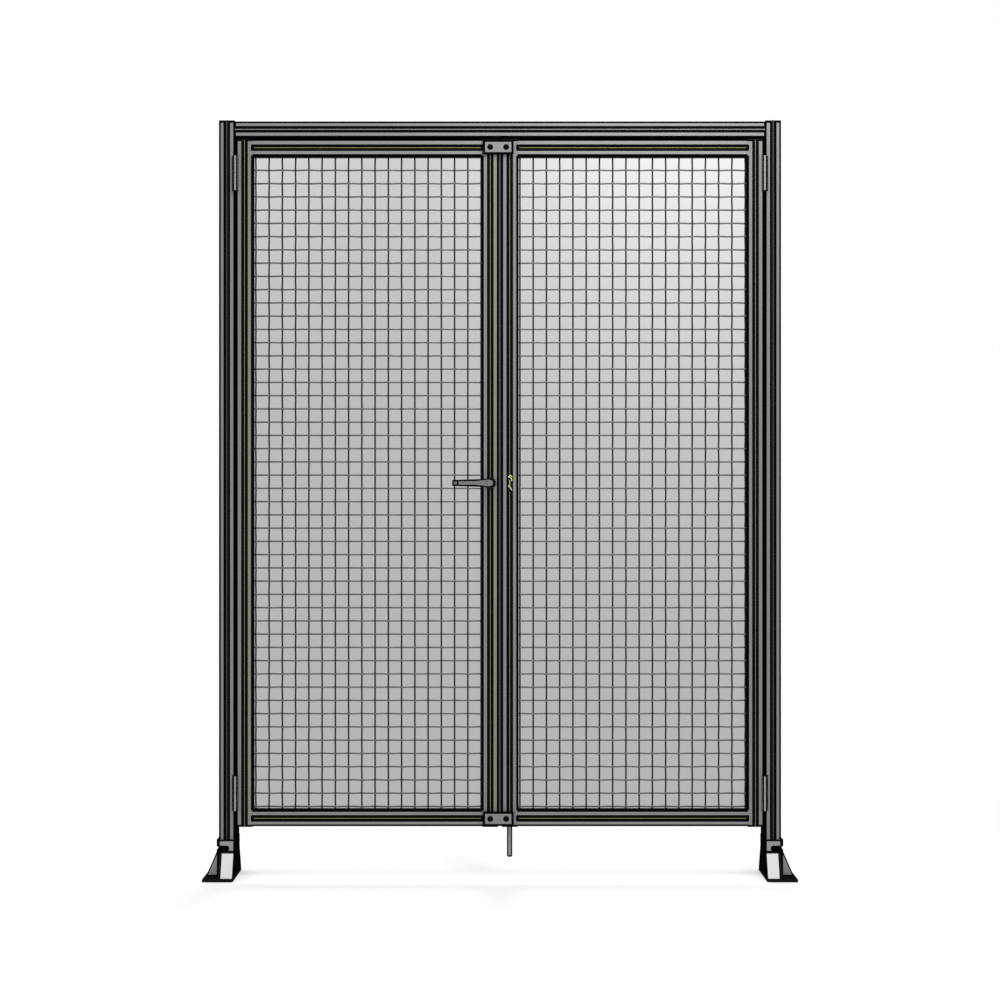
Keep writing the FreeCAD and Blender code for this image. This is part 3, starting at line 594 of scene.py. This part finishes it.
# Painted highlight: light lines along four sides of the bolt, which is otherwise painted black as shade,
# and black all round at its foot.
dark = steel.past(abs(x - bolt_x), highlight_half) * steel.past(abs(y - bolt_y), highlight_half)
steel.blacken(dark | steel.under(height, tip_top), metal=0.3)
paint(steel, "latch_bolt", "drop_bolt")
paint(rose, "drop_bolt_guides")

# Studio: a white floor that fades out round the feet, a white backdrop with a grey card behind the
# leaves that is lighter towards the top and the right as a painted highlight, a lamp at the upper
# right, a large one in front, one behind and the light of the room.
floor_y, floor_width, floor_depth, floor_glow = -0.75, 5.0, 3.4, 0.17
side_fade, back_fade, front_fade = (1.5, 2.4), (0.25, 0.6), (1.6, 2.4)
bpy.ops.object.select_all(action="DESELECT")
bpy.ops.mesh.primitive_plane_add(size=1.0, location=(door_middle, floor_y, 0.0))
floor = bpy.context.object
floor.name = "floor"
floor.scale = (floor_width, floor_depth, 1.0)
bpy.ops.object.transform_apply(location=True, rotation=True, scale=True)


def in_view(shading):
    """1 on the rays that show the background: to the camera, in a mirror and through glass."""
    rays = ("Is Camera Ray", "Is Glossy Ray", "Is Transmission Ray")
    seen, mirrored, through = [shading.add("ShaderNodeLightPath", ray, {}, {}) for ray in rays]
    return seen | mirrored | through


def tone(shading, level):
    """A grey of a varying level."""
    return shading.add("ShaderNodeCombineColor", 0, {}, {0: level, 1: level, 2: level})


ground = Finish("floor_white")
ground.set("Base Color", (*grey(0.9), 1.0))
ground.set("Roughness", 0.9)
ground.set("Emission Color", tone(ground, in_view(ground)))
ground.set("Emission Strength", floor_glow)
x, y = ground.place("XY")
shown = 1.0 - ground.step(abs(x - door_middle), *side_fade)
shown = shown * (1.0 - ground.step(y, *back_fade)) * (1.0 - ground.step(0.0 - y, *front_fade))
ground.set("Alpha", shown)
floor.data.materials.append(ground.material)

world = bpy.data.worlds.new("studio")
bpy.context.scene.world = world
world.use_nodes = True
room = Shading(world.node_tree)
x, y, z = room.place("XYZ", "Generated")
least_ahead = 0.01
ahead = y | least_ahead
aside, up = x / ahead, z / ahead
card_side, card_top, card_foot, card_front = (0.144, 0.157), (0.199, 0.212), (0.1765, 0.183), (0.5, 0.8)
card = (1.0 - room.step(abs(aside), *card_side)) * (1.0 - room.step(up, *card_top))
card = card * (1.0 - room.step(0.0 - up, *card_foot)) * room.step(y, *card_front)
# Painted highlight: the card's grey rises towards the top and the right, and in the upper left corner.
foot_level, top_gain, left_share, corner_gain = 0.468, 0.46, 0.33, 0.06
below_eye, card_height, top_curve, corner_curve = 0.2, 0.4, 3.0, 8.0
to_full, from_corner = (-0.08, 0.1), (-0.15, -0.03)
rising = ((up + below_eye) | 0.0) / card_height
to_the_right = left_share + (1.0 - left_share) * room.step(aside, *to_full)
left_corner = rising ** corner_curve * (1.0 - room.step(aside, *from_corner))
level = foot_level + top_gain * rising ** top_curve * to_the_right + corner_gain * left_corner
white, room_light = grey(1.0), 0.8
backdrop = room.blend(card, white, tone(room, level))
backdrop = room.add("ShaderNodeBackground", 0, {}, {"Color": backdrop, "Strength": 1.0})
light = room.add("ShaderNodeBackground", 0, {}, {"Color": (*white, 1.0), "Strength": room_light})
mixed = room.add("ShaderNodeMixShader", 0, {}, {0: in_view(room), 1: light, 2: backdrop})
room.feed(room.tree.nodes["World Output"].inputs["Surface"], mixed)


def lamp(name, place, target, size, power):
    """A square soft lamp that faces a point."""
    data = bpy.data.lights.new(name, "AREA")
    data.size = size
    data.energy = power
    piece = bpy.data.objects.new(name, data)
    bpy.context.scene.collection.objects.link(piece)
    piece.location = place
    way = [t - p for t, p in zip(target, place)]
    tilt = math.pi - math.acos(way[2] / math.dist(target, place))
    piece.rotation_euler = (tilt, 0.0, math.atan2(way[1], way[0]) - math.pi / 2)


lamp("key", place=(1.35, -1.1, 3.0), target=(1.3, 0.0, 2.0), size=0.8, power=25.0)
lamp("fill", place=(0.6, -4.4, 1.0), target=(0.77, 0.0, 0.8), size=2.5, power=14.0)
lamp("rear", place=(0.77, 2.8, 4.2), target=(0.77, 0.0, 0.9), size=1.2, power=60.0)

# The camera stands level, straight in front of the middle of the door. Its lens gives the door's front
# face its size in a picture 1000 pixels wide.
camera_distance, camera_height, door_front = 5.0, 1.0722, -0.045
pixels_per_metre, picture_width, sensor_width = 353.67, 1000.0, 36.0
camera = bpy.data.cameras.new("camera")
camera.sensor_width = sensor_width
camera.lens = sensor_width * pixels_per_metre * camera_distance / picture_width
eye = bpy.data.objects.new("camera", camera)
bpy.context.scene.collection.objects.link(eye)
eye.location = (door_middle, door_front - camera_distance, camera_height)
eye.rotation_euler = (math.pi / 2, 0.0, 0.0)
bpy.context.scene.camera = eye
bpy.context.scene.view_settings.view_transform = "Standard"
